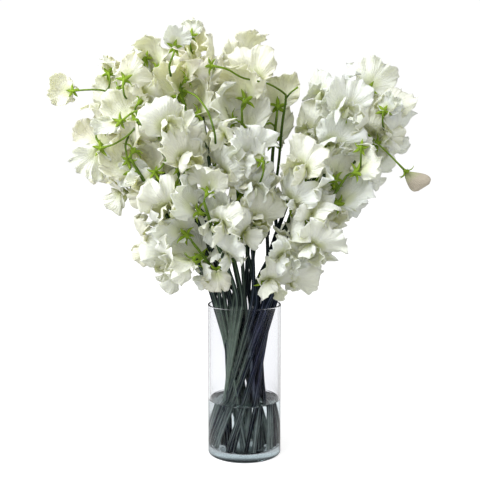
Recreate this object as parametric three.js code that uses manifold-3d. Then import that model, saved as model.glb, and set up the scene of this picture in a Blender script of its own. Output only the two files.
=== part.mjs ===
// A bunch of white sweet peas standing in water in a clear glass cylinder vase.
// Millimetres, +Z up, origin at the centre of the vase's flat foot, -Y towards the front of the bunch.
// The stems stand in one ring that twists through the vase: they touch at the waist and open below and above it.
// Above the rim each stem bends out to the head of its own spray, and ends in a short straight raceme of flowers.
import * as THREE from "three";
import { mergeVertices } from "three/addons/utils/BufferGeometryUtils.js";
import Module from "manifold-3d";

// Driving dimensions.
const VASE = { radius: 45, height: 186, wall: 2.2, floor: 9.5, corner: 1.2, sides: 32 };
const WATER_TOP = 67;
const GAP = 0.35;
const FOOT = { clearance: 1.3, holeRun: 12 };
const WAIST = { height: 99, radius: 23.2, twist: 0.0148 };
const RIM_LIFT = 2;
const STEM = { foot: 2.35, rim: 2.3, bend: 2.2, raceme: 1.95, tip: 1.35, sides: 4 };
const RACEME = { step: 19, tail: 7, forward: 15, up: 16 };
const LEAN = { heart: 175, share: 0.9 };
const STALK = { length: 8, spread: 4, root: 1, neck: 0.8, rise: 0.35 };
const CALYX = { reach: 7.6, notch: 2.6, tip: 3.6, valley: 1.2, back: -2.4, front: 0.5, lobes: 5 };
const CELL = { calm: 0.72, limit: 0.975 };
const LEAST_SCRAP = 60;
const FINENESS = 0.07;
const SAME_POINT = 1e-4;

// Sprays: x, y, z of the middle of each one's flowers, their number, and how far they turn from facing outwards.
const SPRAYS_AT = [
  // left crown, outline
  [-166, -8, 390, 3, -110], [-146, 8, 440, 3, -100], [-104, -6, 458, 3, -80], [-48, 6, 468, 4, 160],
  [4, -4, 465, 3, -100], [28, -8, 417, 3, 165], [-160, 0, 347, 3, 60],
  // left crown, front
  [-116, -58, 420, 3, -125], [-62, -66, 434, 4, -150], [-8, -60, 420, 3, -140], [-124, -68, 366, 3, -115],
  [-70, -88, 382, 4, 130], [-14, -78, 362, 4, 10], [-98, -66, 314, 3, 20], [-46, -82, 320, 3, -135],
  [18, -60, 318, 3, 60],
  // left crown, back
  [-114, 64, 416, 3, 20], [-58, 70, 438, 3, -120], [-14, 56, 460, 3, 70], [-106, 72, 350, 3, -60],
  [-48, 86, 368, 3, 140],
  // right crown
  [98, -6, 416, 3, -60], [135, 6, 440, 3, 130], [171, -4, 400, 3, -50], [146, -8, 376, 3, 80],
  [112, -56, 392, 4, -10], [116, -62, 344, 3, 110], [72, -70, 334, 3, -30], [120, 60, 392, 3, -100],
  [104, 66, 330, 3, 40],
  // skirt
  [-97, -26, 250, 3, 30], [-70, -66, 262, 3, -60], [-14, -74, 279, 3, 24], [70, -70, 280, 3, -80],
  [93, -14, 287, 3, 10], [-34, -44, 222, 1, -20], [46, -52, 242, 3, 30], [72, -30, 242, 3, -10],
  [-74, 56, 264, 3, -40], [0, 76, 290, 3, 60], [64, 58, 262, 3, -30],
];
const TURN_SPREAD = 40;

// One flower and one closed bud stand away on long stalks: the spray that bears each, its base, direction and top.
const STRAYS = [
  { spray: 1, open: true, base: [-201, -20, 442], points: [-0.35, 0.9, -0.05], top: [-0.95, -0.3, 0.15], size: 0.75 },
  { spray: 25, open: false, base: [188, -30, 349], points: [0.64, -0.1, -0.76], top: [0, 0, 1], size: 1 },
];

const wasm = await Module();
wasm.setup();

// A repeatable run of numbers from 0 to 1 for one spray.
function drawsFor(spray) {
  let state = (spray + 1) * 1777;
  return () => {
    state = (state * 16807) % 2147483647;
    return state / 2147483647;
  };
}

const degrees = (angle) => (angle * Math.PI) / 180;

// The sum of some vectors, each with its share.
const mix = (terms) =>
  terms.reduce((sum, [vector, share]) => sum.addScaledVector(vector, share), new THREE.Vector3());

// Where a stem of the ring is at a height, given its angle at the waist.
function ringPoint(angle, height) {
  const q = WAIST.twist * (height - WAIST.height);
  const r = WAIST.radius;
  return new THREE.Vector3(
    r * (Math.cos(angle) - q * Math.sin(angle)),
    r * (Math.sin(angle) + q * Math.cos(angle)),
    height,
  );
}

// Each stem's place in the ring follows the order of the sprays round the vase, so that stems don't cross.
const bearing = ([x, y]) => Math.atan2(y, x);
const order = SPRAYS_AT.map((_, i) => i).sort((a, b) => bearing(SPRAYS_AT[a]) - bearing(SPRAYS_AT[b]));
const RING_LAG = degrees(-245);
const ringAngle = (spray) => RING_LAG + (2 * Math.PI * order.indexOf(spray)) / order.length;

// One flower: the point where its calyx sits, its forward and upward directions, its size and its stalk's root.
function flowersOf(head, count, { rise, facing, side }, draw) {
  return Array.from({ length: count }, (_, j) => {
    const hand = j % 2 ? 1 : -1;
    const swing = hand * degrees(40 + 14 * draw());
    const tilt = degrees(j ? 80 + 16 * draw() : 66 + 12 * draw());
    const stalk = STALK.length + STALK.spread * draw();
    const roll = degrees(30 * (draw() - 0.5));
    const size = (j ? 1.08 : 1) + 0.1 * draw();
    const forward = mix([
      [rise, Math.cos(tilt)],
      [facing, Math.sin(tilt) * Math.cos(swing)],
      [side, Math.sin(tilt) * Math.sin(swing)],
    ]).normalize();
    const upright = mix([[rise, 1], [forward, -rise.dot(forward)]]).normalize();
    const root = mix([[head, 1], [rise, -RACEME.step * j]]);
    const base = mix([[root, 1], [mix([[forward, 1], [rise, STALK.rise]]).normalize(), stalk]]);
    return { root, base, forward, up: upright.applyAxisAngle(forward, roll), size };
  });
}

// A spray rises out of the bunch, with its flowers facing one way off its raceme, to either hand by turns.
function sprayAt([x, y, z, count, turn], spray) {
  const draw = drawsFor(spray);
  const reach = Math.hypot(x, y);
  const lean = LEAN.share * Math.atan2(reach, z - LEAN.heart);
  const out = new THREE.Vector3(x / reach, y / reach, 0);
  const up = new THREE.Vector3(0, 0, 1);
  const rise = mix([[out, Math.sin(lean)], [up, Math.cos(lean)]]);
  const facing = mix([[out, Math.cos(lean)], [up, -Math.sin(lean)]]);
  facing.applyAxisAngle(rise, degrees(turn + TURN_SPREAD * (draw() - 0.5)));
  const side = new THREE.Vector3().crossVectors(rise, facing);
  const half = (RACEME.step * (count - 1)) / 2;
  const head = mix([[new THREE.Vector3(x, y, z), 1], [facing, -RACEME.forward], [rise, half - RACEME.up]]);
  return {
    head,
    rise,
    racemeStart: mix([[head, 1], [rise, -2 * half - RACEME.tail]]),
    flowers: flowersOf(head, count, { rise, facing, side }, draw),
    angle: ringAngle(spray),
  };
}
const SPRAYS = SPRAYS_AT.map(sprayAt);

// The points that a stem follows: straight through the vase, one bend above the rim, then its raceme. A margin
// gives the path of the fatter copy that cuts its hole, which runs on past the foot through the water.
const BEND_SHARES = [0.5, 1];
const BEND_PULL = 0.35;
function stemPath({ head, rise, racemeStart, angle }, margin = 0) {
  const foot = ringPoint(angle, VASE.floor + FOOT.clearance - FOOT.holeRun * margin);
  const rim = ringPoint(angle, VASE.height + RIM_LIFT);
  const length = racemeStart.distanceTo(rim);
  const bend = new THREE.CubicBezierCurve3(
    rim,
    mix([[rim, 1], [rim.clone().sub(foot).normalize(), BEND_PULL * length]]),
    mix([[racemeStart, 1], [rise, -BEND_PULL * length]]),
    racemeStart,
  );
  return [foot, rim, ...BEND_SHARES.map((t) => bend.getPoint(t)), mix([[head, 1], [rise, margin]])];
}
const STEM_RADII = [STEM.foot, STEM.rim, STEM.bend, STEM.raceme, STEM.tip];

// A closed geometry from corner points and triangles.
function geometryOf(points, triangles) {
  const geometry = new THREE.BufferGeometry().setFromPoints(points);
  geometry.setIndex(triangles.flat());
  return geometry;
}

// A tapered rod with flat ends along a run of points that starts nearly upright.
function rod(points, radii, sides) {
  let across = new THREE.Vector3(1, 0, 0);
  const corners = [];
  points.forEach((point, i) => {
    const before = points[Math.max(i - 1, 0)];
    const after = points[Math.min(i + 1, points.length - 1)];
    const along = after.clone().sub(before).normalize();
    across = mix([[across, 1], [along, -across.dot(along)]]).normalize();
    const third = new THREE.Vector3().crossVectors(along, across);
    for (let k = 0; k < sides; k++) {
      const turn = (2 * Math.PI * k) / sides;
      corners.push(mix([[point, 1], [across, radii[i] * Math.cos(turn)], [third, radii[i] * Math.sin(turn)]]));
    }
  });
  const faces = [];
  for (let i = 0; i + 1 < points.length; i++)
    for (let k = 0; k < sides; k++) {
      const a = i * sides + k;
      const b = i * sides + ((k + 1) % sides);
      faces.push([a, b, b + sides], [a, b + sides, a + sides]);
    }
  const last = (points.length - 1) * sides;
  for (let k = 1; k + 1 < sides; k++) faces.push([0, k + 1, k], [last, last + k, last + k + 1]);
  return geometryOf(corners, faces);
}

// A solid from a closed geometry, turned right side out.
function solid(geometry) {
  geometry.deleteAttribute("normal");
  geometry.deleteAttribute("uv");
  const merged = mergeVertices(geometry, SAME_POINT);
  const vertProperties = merged.attributes.position.array;
  const triVerts = new Uint32Array(merged.index.array);
  const made = new wasm.Manifold(new wasm.Mesh({ numProp: 3, vertProperties, triVerts }));
  if (made.volume() > 0) return made;
  return new wasm.Manifold(new wasm.Mesh({ numProp: 3, vertProperties, triVerts: triVerts.reverse() }));
}

const fuse = (solids) => solids.reduce((sum, one) => sum.add(one));

// The separate bodies of a solid, largest first. Hollows that fusing has sealed are filled by leaving them out.
const bodiesOf = (made) =>
  made
    .decompose()
    .filter((body) => body.volume() > LEAST_SCRAP)
    .sort((a, b) => b.volume() - a.volume());

function mesh(name, made, material) {
  const { vertProperties, triVerts } = made.asOriginal().simplify(FINENESS).getMesh();
  const geometry = new THREE.BufferGeometry();
  geometry.setAttribute("position", new THREE.BufferAttribute(vertProperties, 3));
  geometry.setIndex(new THREE.BufferAttribute(triVerts, 1));
  const shown = new THREE.Mesh(geometry, material);
  shown.name = name;
  return shown;
}

// Local point of a flower, from millimetres forward, up and to the side of its base.
function at({ base, forward, up, size }, f, u, s) {
  const side = new THREE.Vector3().crossVectors(forward, up);
  return mix([[base, 1], [forward, f * size], [up, u * size], [side, s * size]]);
}

// A flower's petals in one piece: behind, the standard, a broad, creased petal that stands up with a waved margin
// and a notch at the top; before it, a hood of two wings over the keel, with its ridge along the middle.
const STANDARD_HALF = [
  [6, -1, 8],
  [8, 9, 22],
  [14, 25, 24],
  [8, 38, 13],
];
const WING_HALF = [
  [15, -5.5, 11.5],
  [26, -2, 10],
];
const MIDDLE = {
  base: [1.8, 0.8, 0],
  throat: [8.5, 10, 0],
  front: [15.8, 20, 0],
  back: [13.2, 20.8, 0],
  notch: [11, 36, 0],
  tip: [29, 7, 0],
};
function petals(flower) {
  const names = Object.keys(MIDDLE);
  const points = names.map((name) => at(flower, ...MIDDLE[name]));
  const mid = (name) => names.indexOf(name);
  const faces = [];
  for (const hand of [1, -1]) {
    const first = points.length;
    for (const [f, u, s] of [...STANDARD_HALF, ...WING_HALF]) points.push(at(flower, f, u, hand * s));
    const face = (a, b, c) => faces.push(hand > 0 ? [a, b, c] : [a, c, b]);
    const edge = STANDARD_HALF.map((_, i) => first + i);
    const wing = WING_HALF.map((_, i) => first + edge.length + i);
    const margin = [...edge, mid("notch")];
    for (let i = 0; i + 1 < margin.length; i++) {
      face(mid("front"), margin[i], margin[i + 1]);
      face(mid("back"), margin[i + 1], margin[i]);
    }
    face(mid("front"), mid("throat"), edge[0]);
    face(mid("back"), edge[0], mid("base"));
    const hood = [edge[0], ...wing, mid("tip")];
    for (let i = 0; i + 1 < hood.length; i++) {
      face(mid("throat"), hood[i + 1], hood[i]);
      face(mid("base"), hood[i], hood[i + 1]);
    }
  }
  return geometryOf(points, faces);
}

// A flower's stalk, from inside its raceme, with the calyx at its end: a green star of five pointed lobes. A
// margin makes the fatter copy that petals are cut back with, which stands off further along thin edges.
const STAND_OFF = { back: 2.5, stalk: 2, start: 1, front: 1.4, valley: [1.6, 2], tip: [3, 5] };
function calyx(flower, margin = 0) {
  const neck = at(flower, CALYX.back - STAND_OFF.back * margin, 0, 0);
  const along = neck.clone().sub(flower.root).normalize();
  const across = mix([[flower.up, 1], [along, -along.dot(flower.up)]]).normalize();
  const aside = new THREE.Vector3().crossVectors(across, along);
  const ring = (centre, radius) =>
    [0, 1, 2].map((k) => {
      const turn = (2 * Math.PI * k) / 3;
      const r = radius + STAND_OFF.stalk * margin;
      return mix([[centre, 1], [across, r * Math.cos(turn)], [aside, r * Math.sin(turn)]]);
    });
  const start = mix([[flower.root, 1], [along, -STAND_OFF.start * margin]]);
  const points = [...ring(start, STALK.root), ...ring(neck, STALK.neck)];
  const corners = 2 * CALYX.lobes;
  for (let k = 0; k < corners; k++) {
    const turn = (Math.PI * k) / CALYX.lobes;
    const [forward, reach] = k % 2 ? [CALYX.valley, CALYX.notch] : [CALYX.tip, CALYX.reach];
    const [moreForward, moreReach] = k % 2 ? STAND_OFF.valley : STAND_OFF.tip;
    const r = reach + moreReach * margin;
    points.push(at(flower, forward + moreForward * margin, r * Math.cos(turn), -r * Math.sin(turn)));
  }
  const front = points.push(at(flower, CALYX.front + STAND_OFF.front * margin, 0, 0)) - 1;
  const star = (k) => 6 + (k % corners);
  const faces = [[0, 1, 2]];
  const reached = [0, 3, 7, corners];
  for (let k = 0; k < 3; k++) {
    const next = (k + 1) % 3;
    faces.push([k, k + 3, next + 3], [k, next + 3, next]);
    faces.push([k + 3, star(reached[k + 1]), next + 3]);
    for (let i = reached[k]; i < reached[k + 1]; i++) faces.push([k + 3, star(i), star(i + 1)]);
  }
  for (let k = 0; k < corners; k++) faces.push([front, star(k + 1), star(k)]);
  return geometryOf(points, faces);
}

// A closed bud: a folded, pointed drop, flattened from side to side. Each ring is its distance forward, its
// height over the base and its radius.
const BUD = { rings: [[3, 0, 3.4], [12, 2, 9], [21, 4, 11.5]], base: 0.9, tip: [29, 6, 0], sides: 5, flat: 0.45 };
function bud(flower) {
  const { rings, sides } = BUD;
  const corners = rings.flatMap(([f, u, r]) =>
    Array.from({ length: sides }, (_, k) => {
      const turn = (2 * Math.PI * k) / sides;
      return at(flower, f, u + r * Math.cos(turn), BUD.flat * r * Math.sin(turn));
    }),
  );
  const base = corners.push(at(flower, BUD.base, 0, 0)) - 1;
  const tip = corners.push(at(flower, ...BUD.tip)) - 1;
  const last = sides * (rings.length - 1);
  const faces = [];
  for (let k = 0; k < sides; k++) {
    const next = (k + 1) % sides;
    faces.push([base, next, k], [tip, last + k, last + next]);
    for (let row = 0; row < last; row += sides)
      faces.push([row + k, row + next, row + next + sides], [row + k, row + next + sides, row + k + sides]);
  }
  return geometryOf(corners, faces);
}

const STRAY_FLOWERS = STRAYS.map(({ spray, open, base, points, top, size }) => {
  const forward = new THREE.Vector3(...points).normalize();
  const up = new THREE.Vector3(...top);
  return {
    name: open ? "stray_flower_petals" : "closed_bud",
    open,
    root: SPRAYS[spray].head,
    base: new THREE.Vector3(...base),
    forward,
    up: mix([[up, 1], [forward, -up.dot(forward)]]).normalize(),
    size,
  };
});

// Everything green, as solids; a margin makes the fatter copy that petals and water are cut with.
function greens(margin) {
  const fat = STEM_RADII.map((radius) => radius + margin / Math.cos(Math.PI / STEM.sides));
  return [
    ...SPRAYS.map((spray) => solid(rod(stemPath(spray, margin), fat, STEM.sides))),
    ...SPRAYS.flatMap((spray) => spray.flowers).map((flower) => solid(calyx(flower, margin))),
    ...STRAY_FLOWERS.map((flower) => solid(calyx(flower, margin))),
  ];
}

// Each spray's petals keep to their own cell, bounded halfway to the neighbouring sprays: what would reach
// over the boundary is bent back inside it.
const HEART = [12, 14, 0];
const centreOf = (flowers) =>
  mix(flowers.map((flower) => [at(flower, ...HEART), 1 / flowers.length]));
function cells(centres) {
  return (own) => (point) => {
    const ray = point.clone().sub(centres[own]);
    const length = ray.length();
    ray.normalize();
    let wall = Infinity;
    centres.forEach((other, i) => {
      const apart = other.clone().sub(centres[own]);
      const facing = ray.dot(apart);
      if (i !== own && facing > 0) wall = Math.min(wall, apart.lengthSq() / 2 / facing);
    });
    const calm = CELL.calm * wall;
    if (length <= calm) return point;
    const room = (CELL.limit - CELL.calm) * wall;
    return mix([[centres[own], 1], [ray, calm + room * (1 - Math.exp((calm - length) / room))]]);
  };
}

function bent(geometry, move) {
  const position = geometry.getAttribute("position");
  for (let i = 0; i < position.count; i++) {
    const moved = move(new THREE.Vector3().fromBufferAttribute(position, i));
    position.setXYZ(i, moved.x, moved.y, moved.z);
  }
  return geometry;
}

const turned = (profile) =>
  new THREE.LatheGeometry(profile.map(([r, z]) => new THREE.Vector2(r, z)), VASE.sides).rotateX(Math.PI / 2);

function vaseGeometry() {
  const { radius, height, wall, floor, corner } = VASE;
  const inner = radius - wall;
  return turned([
    [0, 0],
    [radius - corner, 0],
    [radius, corner],
    [radius, height],
    [inner, height],
    [inner, floor + corner],
    [inner - corner, floor],
    [0, floor],
  ]);
}

// The room that the vase takes, with a margin, to cut petals clear of it.
function vaseRoom(margin) {
  const radius = VASE.radius + margin;
  return turned([[0, -margin], [radius, -margin], [radius, VASE.height + margin], [0, VASE.height + margin]]);
}

function waterSolid(stems) {
  const radius = VASE.radius - VASE.wall - GAP;
  const floor = VASE.floor + GAP;
  const body = turned([
    [0, floor],
    [radius - VASE.corner, floor],
    [radius, floor + VASE.corner],
    [radius, WATER_TOP],
    [0, WATER_TOP],
  ]);
  return solid(body).subtract(fuse(stems));
}

const MATERIALS = {
  glass: new THREE.MeshStandardMaterial({ color: 0xdfe8ea, roughness: 0.05, transparent: true, opacity: 0.35 }),
  water: new THREE.MeshStandardMaterial({ color: 0xc9d6d4, roughness: 0.05, transparent: true, opacity: 0.4 }),
  stem: new THREE.MeshStandardMaterial({ color: 0x3d5c26, roughness: 0.55 }),
  petal: new THREE.MeshStandardMaterial({ color: 0xf2f1e4, roughness: 0.75 }),
};

const bouquet = new THREE.Group();
bouquet.add(mesh("glass_vase", solid(vaseGeometry()), MATERIALS.glass));
bouquet.add(mesh("stems_and_calyxes", bodiesOf(fuse(greens(0)))[0], MATERIALS.stem));

const fatGreens = greens(GAP);
bouquet.add(mesh("water", waterSolid(fatGreens.slice(0, SPRAYS.length)), MATERIALS.water));

const cutAway = fuse([...fatGreens, solid(vaseRoom(GAP))]);
const toCell = cells([
  ...SPRAYS.map((spray) => centreOf(spray.flowers)),
  ...STRAY_FLOWERS.map((flower) => centreOf([flower])),
]);

// The petals of a spray, each flower bent into the spray's cell and cut clear of what is green.
const piecesOf = (geometries, own) =>
  bodiesOf(fuse(geometries.map((geometry) => solid(bent(geometry, toCell(own))))).subtract(cutAway));

SPRAYS.forEach(({ flowers }, spray) => {
  const name = `spray_${String(spray + 1).padStart(2, "0")}_petals`;
  piecesOf(flowers.map(petals), spray).forEach((piece, i) => {
    bouquet.add(mesh(i ? `${name}_${i + 1}` : name, piece, MATERIALS.petal));
  });
});
STRAY_FLOWERS.forEach((flower, i) => {
  const [piece] = piecesOf([flower.open ? petals(flower) : bud(flower)], SPRAYS.length + i);
  bouquet.add(mesh(flower.name, piece, MATERIALS.petal));
});

export default bouquet;
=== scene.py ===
import math

import bpy
import numpy as np
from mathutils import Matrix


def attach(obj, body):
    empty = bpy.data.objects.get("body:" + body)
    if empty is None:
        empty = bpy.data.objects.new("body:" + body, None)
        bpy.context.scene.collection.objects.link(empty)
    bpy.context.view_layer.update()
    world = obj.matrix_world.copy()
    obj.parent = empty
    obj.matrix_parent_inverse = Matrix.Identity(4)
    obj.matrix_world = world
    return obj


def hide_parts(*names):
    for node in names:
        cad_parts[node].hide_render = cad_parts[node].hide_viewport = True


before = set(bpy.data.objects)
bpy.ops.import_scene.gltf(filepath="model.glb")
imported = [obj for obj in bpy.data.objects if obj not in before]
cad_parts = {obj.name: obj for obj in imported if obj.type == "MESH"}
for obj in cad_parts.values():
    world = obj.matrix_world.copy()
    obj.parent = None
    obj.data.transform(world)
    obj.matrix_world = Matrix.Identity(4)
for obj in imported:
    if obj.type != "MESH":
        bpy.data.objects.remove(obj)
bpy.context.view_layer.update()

# The layout, in millimetres, as the solids have it. Meshes are scaled to metres when they are made.
METRE = 0.001
VASE = {"radius": 45, "height": 186, "wall": 2.2, "floor": 9.5, "corner": 1.2, "sides": 144}
WATER_TOP = 67
# Stems are straight from just over the floor to just over the rim, and twist closest together at a waist.
FOOT_CLEARANCE = 1.3
WAIST = {"height": 99, "radius": 23.2, "twist": 0.0148}
RIM_LIFT = 2
STEM_REACH = 39.0
# A raceme's step between flowers, its length below them, and how far forward and up their middle stands.
RACEME = {"step": 19, "tail": 7, "forward": 15, "up": 16}
# Sprays lean away from a point on the axis at this height, by a share of the full angle.
LEAN = {"heart": 175, "share": 0.9}
STALK = {"length": 8, "spread": 4, "rise": 0.35, "root": 1.25, "neck": 1.05}
# How a flower stands on its raceme: the least angle or size, and how much a random draw adds.
FLOWER = {
    "swing": (40, 14), "tilt": (80, 16), "size": (1.08, 0.1),
    "top_tilt": (66, 12), "top_size": (1.0, 0.1), "roll": (-15, 30),
}
# Where a stalk meets its calyx, forward of the flower's base.
CALYX_BACK = -2.4
# Shares of a spray's own room: petals are free inside the first, and never reach past the second.
CELL = {"calm": 0.85, "limit": 1.25}
# The first stem's angle at the waist. The others follow in the order of their sprays round the vase.
RING_START = math.radians(-245)

# Sprays: x, y, z of the middle of each one's flowers, their number, and their turn from facing outwards.
SPRAYS_AT = [
    # left crown, outline
    (-166, -8, 390, 3, -110), (-146, 8, 440, 3, -100), (-104, -6, 458, 3, -80), (-48, 6, 468, 4, 160),
    (4, -4, 465, 3, -100), (28, -8, 417, 3, 165), (-160, 0, 347, 3, 60),
    # left crown, front
    (-116, -58, 420, 3, -125), (-62, -66, 434, 4, -150), (-8, -60, 420, 3, -140), (-124, -68, 366, 3, -115),
    (-70, -88, 382, 4, 130), (-14, -78, 362, 4, 10), (-98, -66, 314, 3, 20), (-46, -82, 320, 3, -135),
    (18, -60, 318, 3, 60),
    # left crown, back
    (-114, 64, 416, 3, 20), (-58, 70, 438, 3, -120), (-14, 56, 460, 3, 70), (-106, 72, 350, 3, -60),
    (-48, 86, 368, 3, 140),
    # right crown
    (98, -6, 416, 3, -60), (135, 6, 440, 3, 130), (171, -4, 400, 3, -50), (146, -8, 376, 3, 80),
    (112, -56, 392, 4, -10), (116, -62, 344, 3, 110), (72, -70, 334, 3, -30), (120, 60, 392, 3, -100),
    (104, 66, 330, 3, 40),
    # skirt
    (-97, -26, 250, 3, 30), (-70, -66, 262, 3, -60), (-14, -74, 279, 3, 24), (70, -70, 280, 3, -80),
    (93, -14, 287, 3, 10), (-34, -44, 222, 1, -20), (46, -52, 242, 3, 30), (72, -30, 242, 3, -10),
    (-74, 56, 264, 3, -40), (0, 76, 290, 3, 60), (64, 58, 262, 3, -30),
]
# The range of a random turn that comes on top.
TURN_SPREAD = 40
# The open flower at the far left and the closed bud at the far right, each on a long stalk of a spray.
STRAYS = [
    {
        "spray": 1, "open": True, "size": 0.75,
        "base": (-201, -20, 442), "points": (-0.35, 0.9, -0.05), "up": (-0.95, -0.3, 0.15),
    },
    {
        "spray": 25, "open": False, "size": 1.0,
        "base": (188, -30, 349), "points": (0.64, -0.1, -0.76), "up": (0, 0, 1),
    },
]
UP = np.array([0.0, 0.0, 1.0])
DRAWS = {"seed": 1777, "factor": 16807, "modulus": 2**31 - 1}


def unit(vector):
    return vector / np.linalg.norm(vector)


def turned(vector, axis, angle):
    """vector turned round a unit axis."""
    return (
        vector * math.cos(angle)
        + np.cross(axis, vector) * math.sin(angle)
        + axis * (axis @ vector) * (1 - math.cos(angle))
    )


def draws_for(spray):
    """A repeatable run of numbers from 0 to 1 for one spray, the same as the solids'."""
    state = (spray + 1) * DRAWS["seed"]

    def draw():
        nonlocal state
        state = (state * DRAWS["factor"]) % DRAWS["modulus"]
        return state / DRAWS["modulus"]

    return draw


def ring_point(angle, height, radius=WAIST["radius"], twist=WAIST["twist"]):
    """Where a stem of a ring is at a height, given its angle at the waist."""
    q = twist * (height - WAIST["height"])
    c, s = math.cos(angle), math.sin(angle)
    return np.array([radius * (c - q * s), radius * (s + q * c), height])


ORDER = sorted(range(len(SPRAYS_AT)), key=lambda i: math.atan2(SPRAYS_AT[i][1], SPRAYS_AT[i][0]))


def flowers_of(head, count, rise, facing, side, draw):
    """The flowers of one spray: base point, directions, size and the root of each stalk on the raceme."""
    def drawn(name):
        least, spread = FLOWER[name]
        return least + spread * draw()

    flowers = []
    for j in range(count):
        hand = 1 if j % 2 else -1
        swing = hand * math.radians(drawn("swing"))
        tilt = math.radians(drawn("tilt" if j else "top_tilt"))
        stalk = STALK["length"] + STALK["spread"] * draw()
        roll = math.radians(drawn("roll"))
        size = drawn("size" if j else "top_size")
        across = facing * math.cos(swing) + side * math.sin(swing)
        forward = unit(rise * math.cos(tilt) + across * math.sin(tilt))
        upright = unit(rise - forward * (rise @ forward))
        root = head - rise * RACEME["step"] * j
        base = root + unit(forward + rise * STALK["rise"]) * stalk
        up = turned(upright, forward, roll)
        flowers.append({"root": root, "base": base, "forward": forward, "up": up, "size": size, "rise": rise})
    return flowers


def spray_at(index):
    x, y, z, count, turn = SPRAYS_AT[index]
    draw = draws_for(index)
    reach = math.hypot(x, y)
    lean = LEAN["share"] * math.atan2(reach, z - LEAN["heart"])
    out = np.array([x / reach, y / reach, 0.0])
    rise = out * math.sin(lean) + UP * math.cos(lean)
    facing = out * math.cos(lean) - UP * math.sin(lean)
    facing = turned(facing, rise, math.radians(turn + TURN_SPREAD * (draw() - 0.5)))
    side = np.cross(rise, facing)
    half = RACEME["step"] * (count - 1) / 2
    head = np.array([x, y, z]) - facing * RACEME["forward"] + rise * (half - RACEME["up"])
    return {
        "head": head,
        "rise": rise,
        "raceme_start": head - rise * (2 * half + RACEME["tail"]),
        "flowers": flowers_of(head, count, rise, facing, side, draw),
        "angle": RING_START + 2 * math.pi * ORDER.index(index) / len(ORDER),
    }


SPRAYS = [spray_at(i) for i in range(len(SPRAYS_AT))]


def pose(base, points, up):
    """A flower's base, the way it points, and its upper side square to that."""
    forward = unit(np.array(points, float))
    up = np.array(up, float)
    return {"base": np.array(base, float), "forward": forward, "up": unit(up - forward * (up @ forward))}


def stray_flower(stray):
    carrier = SPRAYS[stray["spray"]]
    flower = pose(stray["base"], stray["points"], stray["up"])
    return flower | {"root": carrier["head"], "size": stray["size"], "open": stray["open"]}


STRAY_FLOWERS = [stray_flower(stray) for stray in STRAYS]


# Flowers that show their calyx and the back of their standard petal: spray, base, where they point, the
# side that the petal rises to, its size, and points of the stalk from its root, or none for a short one
# that comes from below.
TURNED = [
    (2, (-117, -12, 481), (0.1, 0.95, 0.1), (-0.8, 0, -0.5), 0.7, ()),
    (8, (-75, -104, 481), (-0.2, 0.85, 0.5), (0.15, 0, 1), 0.6,
     ((-80, -98, 452), (-81, -104, 462), (-77, -108, 472))),
    (3, (-63, -10, 506), (0.1, 0.9, 0.3), (0, 0, 1), 0.5, ()),
    (7, (-129, -108, 447), (0.1, 0.9, 0.35), (0.8, 0, 0.6), 0.75, ()),
    (1, (-163, 4, 464), (-0.4, 0.8, 0.3), (0.5, 0, 0.8), 0.5, ()),
    (10, (-135, -94, 404), (-0.5, 0.8, -0.3), (-1, 0, 0.2), 0.8,
     ((-96, -90, 404), (-104, -108, 412), (-118, -106, 414))),
    (10, (-159, -82, 375), (-0.45, 0.85, -0.15), (-0.7, 0, -1), 0.9,
     ((-118, -84, 404), (-124, -94, 392), (-142, -92, 380))),
    (10, (-131, -74, 362), (0.1, 0.9, -0.4), (0.3, 0, -1), 0.8,
     ((-130, -74, 388), (-132, -84, 378), (-131, -84, 370))),
    (10, (-100, -78, 349), (-0.2, 0.85, -0.5), (-0.7, 0, -0.8), 0.85,
     ((-74, -96, 372), (-84, -100, 364), (-92, -92, 354))),
    (34, (105, -42, 330), (0.2, 0.9, 0.3), (0.5, 0, -1), 0.9,
     ((84, -40, 352), (94, -50, 344), (102, -52, 336))),
    (23, (162, -26, 418), (0.3, 0.9, 0.1), (0.6, 0, 0.8), 0.6, ()),
    (12, (19, -93, 360), (-0.3, 0.9, -0.2), (-0.8, 0, 0.5), 0.8, ()),
    (25, (129, -78, 376), (0.1, 0.9, -0.3), (0.3, 0, -0.8), 0.8, ()),
    (35, (-33, -58, 236), (0.2, -0.95, -0.3), (0.05, 0, -1), 0.68,
     ((-30, -30, 226), (-32, -40, 232), (-33, -50, 237))),
    (9, (-35, -98, 463), (-0.8, 0.55, 0.2), (-0.7, 0, 0.7), 0.8,
     ((29, 10, 270), (34, 4, 316), (40, -6, 349), (44, -18, 400), (48, -26, 432), (45, -32, 439),
      (26, -52, 448), (-2, -78, 452), (-19, -92, 460))),
    (8, (-68, -78, 438), (-0.9, 0.3, 0), (0, -0.3, 1), 0.75,
     ((-32, -98, 380), (-33, -106, 392), (-40, -106, 414), (-53, -92, 431))),
]
TURNED_SIZE = 0.85
# A stalk with more points than this is a stem of its own, stouter and less yellow at its root.
STOUT = {"beyond": 6, "root": 2.1, "young": 0.3}

# The bare tip of a raceme beside a long stalk: spray, points and root.
TIP = {"spray": 9, "points": ((47, -26, 431), (53, -27, 439), (62, -28, 446)), "root": 1.0, "young": 0.3}


def turned_flower(spray, base, points, rise, petal_size, stalk):
    flower = pose(base, points, rise)
    base, forward = flower["base"], flower["forward"]
    line = [np.array(point, float) for point in stalk]
    line = line or [base + forward * 9 - UP * 22, base - UP * 15 - forward, base - UP * 6 - forward * 5]
    return flower | {"spray": spray, "size": TURNED_SIZE, "petal_size": petal_size, "line": line}


TURNED_FLOWERS = [turned_flower(*turned) for turned in TURNED]


def place(flower, local):
    """Local points (forward, up, side) of a flower as points of the layout."""
    side = np.cross(flower["forward"], flower["up"])
    axes = np.array([flower["forward"], flower["up"], side])
    return flower["base"] + flower["size"] * (np.asarray(local, float) @ axes)


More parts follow.
